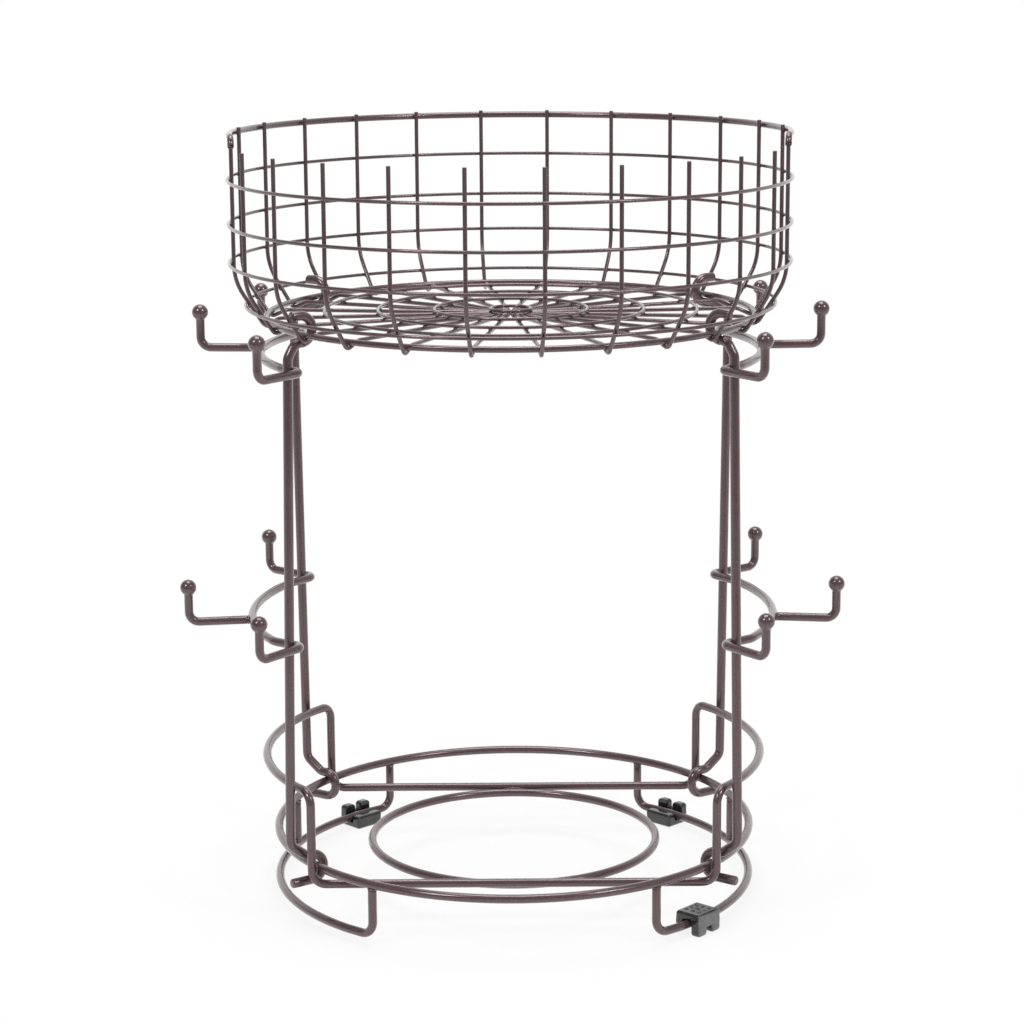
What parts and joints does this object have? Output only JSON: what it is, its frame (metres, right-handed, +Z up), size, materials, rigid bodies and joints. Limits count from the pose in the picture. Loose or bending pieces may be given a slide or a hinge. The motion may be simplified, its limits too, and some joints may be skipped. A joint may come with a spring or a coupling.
{
  "type": "two-tier storage rack",
  "caption": "Wire storage rack: a round plate base with side guards, bent wire side frames with ball-tipped hooks, and a round wire basket on top, open-railed at the front.",
  "frame": {"origin": "on the floor, on the rack's upright axis, which is the bottom centre of its bounding box", "axes": "+Z up along the rack's axis; +Y towards the back, where the basket's thick rim is; +X to the right seen from the front"},
  "size_m": [0.384, 0.3244, 0.4465],
  "materials": {
    "frame_wire": "satin dark bronze-brown paint on round steel wire",
    "basket_wire": "satin dark bronze-brown paint on thin round steel wire",
    "foot_pad": "glossy black moulded soft plastic"
  },
  "bodies": {
    "root": {"base_ring": "frame_wire", "basket_floor_ring": "basket_wire", "basket_hoop_1": "basket_wire", "basket_hoop_2": "basket_wire", "basket_hoop_3": "basket_wire", "basket_hoop_4": "basket_wire", "basket_rim": "basket_wire", "basket_wire_01": "basket_wire", "basket_wire_02": "basket_wire", "basket_wire_03": "basket_wire", "basket_wire_04": "basket_wire", "basket_wire_05": "basket_wire", "basket_wire_06": "basket_wire", "basket_wire_07": "basket_wire", "basket_wire_08": "basket_wire", "basket_wire_09": "basket_wire", "basket_wire_10": "basket_wire", "basket_wire_11": "basket_wire", "basket_wire_12": "basket_wire", "basket_wire_13": "basket_wire", "basket_wire_14": "basket_wire", "basket_wire_15": "basket_wire", "basket_wire_16": "basket_wire", "basket_wire_17": "basket_wire", "basket_wire_18": "basket_wire", "basket_wire_19": "basket_wire", "basket_wire_20": "basket_wire", "basket_wire_21": "basket_wire", "basket_wire_22": "basket_wire", "basket_wire_23": "basket_wire", "basket_wire_24": "basket_wire", "floor_hoop_hub": "basket_wire", "floor_hoop_inner": "basket_wire", "floor_hoop_middle": "basket_wire", "floor_hoop_outer": "basket_wire", "foot_pad_front_right": "foot_pad", "foot_pad_rear_left": "foot_pad", "foot_pad_rear_right": "foot_pad", "foot_wire_left": "frame_wire", "foot_wire_right": "frame_wire", "guard_wire": "frame_wire", "hook_ring_lower_left": "frame_wire", "hook_ring_lower_right": "frame_wire", "hook_ring_upper_left": "frame_wire", "hook_ring_upper_right": "frame_wire", "inner_ring": "frame_wire", "leg_front_left": "frame_wire", "leg_front_right": "frame_wire", "leg_rear_left": "frame_wire", "leg_rear_right": "frame_wire", "side_hook_lower_left": "frame_wire", "side_hook_lower_right": "frame_wire", "side_hook_upper_left": "frame_wire", "side_hook_upper_right": "frame_wire", "side_strut_left": "frame_wire", "side_strut_right": "frame_wire"}
  },
  "joints": []
}
